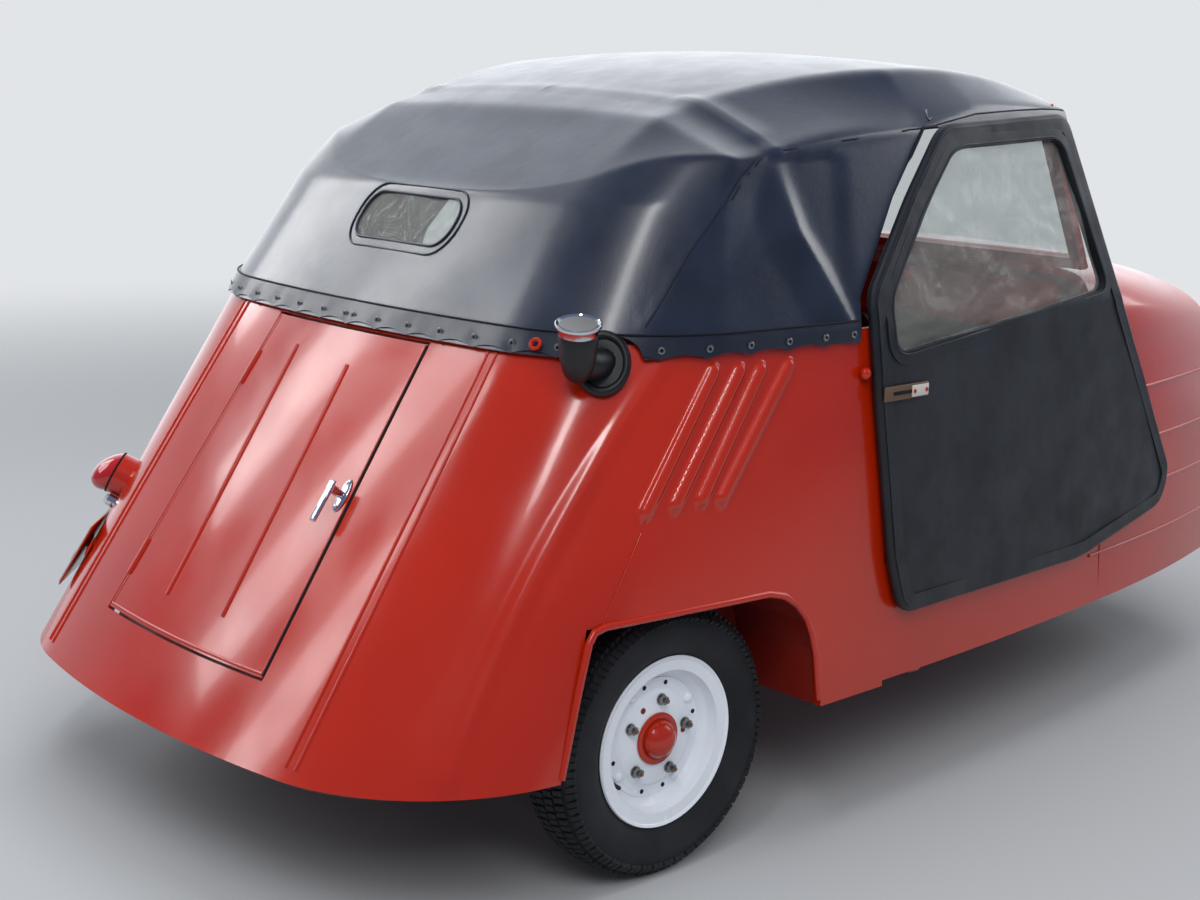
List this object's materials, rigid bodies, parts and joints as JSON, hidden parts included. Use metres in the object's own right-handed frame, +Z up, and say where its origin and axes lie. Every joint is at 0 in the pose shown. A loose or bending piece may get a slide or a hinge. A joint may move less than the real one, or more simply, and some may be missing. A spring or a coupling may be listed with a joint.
{
  "type": "three wheeled car",
  "caption": "Small red two seat three wheeled car with a dark canvas hood, side doors and one steered front wheel.",
  "frame": {"origin": "on the ground under the middle of the car's length and width", "axes": "+X forward along the car, +Y to its left, +Z up"},
  "size_m": [2.65, 1.4148, 1.3305],
  "materials": {
    "body_paint": "gloss",
    "inner_paint": "satin",
    "frame_paint": "satin",
    "dash_paint": "satin",
    "screen_paint": "gloss",
    "bow_paint": "satin",
    "seat_paint": "satin",
    "plate_paint": "satin",
    "cap_paint": "gloss",
    "rim_paint": "gloss",
    "hood_cloth": "satin",
    "door_cloth": "matte",
    "clear_sheet": "gloss",
    "screen_glass": "gloss",
    "tyre_rubber": "matte",
    "filler_rubber": "matte",
    "seat_vinyl": "satin",
    "engine_metal": "matte",
    "drive_iron": "matte",
    "exhaust_steel": "satin",
    "bar_chrome": "gloss",
    "handle_chrome": "gloss",
    "lamp_chrome": "gloss",
    "lamp_red": "gloss"
  },
  "bodies": {
    "body": {"chassis_frame": "frame_paint", "dash_panel": "dash_paint", "deck_rail": "body_paint", "engine_block": "engine_metal", "exhaust": "exhaust_steel", "final_drive": "drive_iron", "firewall": "inner_paint", "floor_pan": "inner_paint", "fuel_filler": "filler_rubber", "headlamp_left": "lamp_chrome", "headlamp_right": "lamp_chrome", "hood_bows": "bow_paint", "hood_canvas": "hood_cloth", "hood_window": "clear_sheet", "nose_shell": "body_paint", "plate_holder": "plate_paint", "rear_quarter_left": "body_paint", "rear_quarter_right": "body_paint", "rear_suspension_left": "frame_paint", "rear_suspension_right": "frame_paint", "seat_back": "seat_vinyl", "seat_base": "seat_paint", "seat_cushion": "seat_vinyl", "side_sill_left": "body_paint", "side_sill_right": "body_paint", "steering_head": "frame_paint", "tail_lamp": "lamp_red", "tail_valance": "body_paint", "toe_board": "inner_paint", "wheel_arch_left": "inner_paint", "wheel_arch_right": "inner_paint", "windscreen_frame": "screen_paint", "windscreen_glass": "screen_glass"},
    "rear_wheel_left": {"rear_tyre_left": "tyre_rubber", "rear_rim_left": "rim_paint", "rear_hub_cap_left": "cap_paint"},
    "rear_wheel_right": {"rear_tyre_right": "tyre_rubber", "rear_rim_right": "rim_paint", "rear_hub_cap_right": "cap_paint"},
    "fork": {"front_fork": "frame_paint"},
    "front_wheel": {"front_tyre": "tyre_rubber", "front_rim": "rim_paint"},
    "bar": {"handlebar": "bar_chrome"},
    "door_left": {"door_panel_left": "door_cloth", "door_window_left": "clear_sheet"},
    "door_right": {"door_panel_right": "door_cloth", "door_window_right": "clear_sheet"},
    "lid": {"engine_lid": "body_paint", "lid_handle": "handle_chrome"}
  },
  "joints": [
    {"name": "rear_wheel_left_spin", "type": "hinge", "parent": "body", "child": "rear_wheel_left", "pos_m": [-0.725, 0.562, 0.232], "axis": [0, 1, 0], "continuous": true},
    {"name": "rear_wheel_right_spin", "type": "hinge", "parent": "body", "child": "rear_wheel_right", "pos_m": [-0.725, -0.562, 0.232], "axis": [0, 1, 0], "continuous": true},
    {"name": "steering", "type": "hinge", "parent": "body", "child": "fork", "pos_m": [0.71662, 0, 0.6], "axis": [-0.342, 0, 0.9397], "range_deg": [-30, 30]},
    {"name": "front_wheel_spin", "type": "hinge", "parent": "fork", "child": "front_wheel", "pos_m": [0.875, 0, 0.232], "axis": [0, 1, 0], "continuous": true},
    {"name": "handlebar_turn", "type": "hinge", "parent": "body", "child": "bar", "pos_m": [0.68386, 0, 0.69], "axis": [-0.8271, 0.3118, 0.4677], "range_deg": [-30, 30]},
    {"name": "door_right_swing", "type": "hinge", "parent": "body", "child": "door_right", "pos_m": [0.708, -0.637, 0.47], "axis": [-0.4518, 0.0691, 0.8895], "range_deg": [0, 65]},
    {"name": "door_left_swing", "type": "hinge", "parent": "body", "child": "door_left", "pos_m": [0.708, 0.637, 0.47], "axis": [0.4518, 0.0691, -0.8895], "range_deg": [0, 65]},
    {"name": "engine_lid_swing", "type": "hinge", "parent": "body", "child": "lid", "pos_m": [-0.91618, 0.2177, 0.864], "axis": [-0.5726, 0.0457, -0.8186], "range_deg": [0, 95]}
  ],
  "couplings": [
    {"joint": "handlebar_turn", "follows": "steering", "ratio": 1}
  ]
}
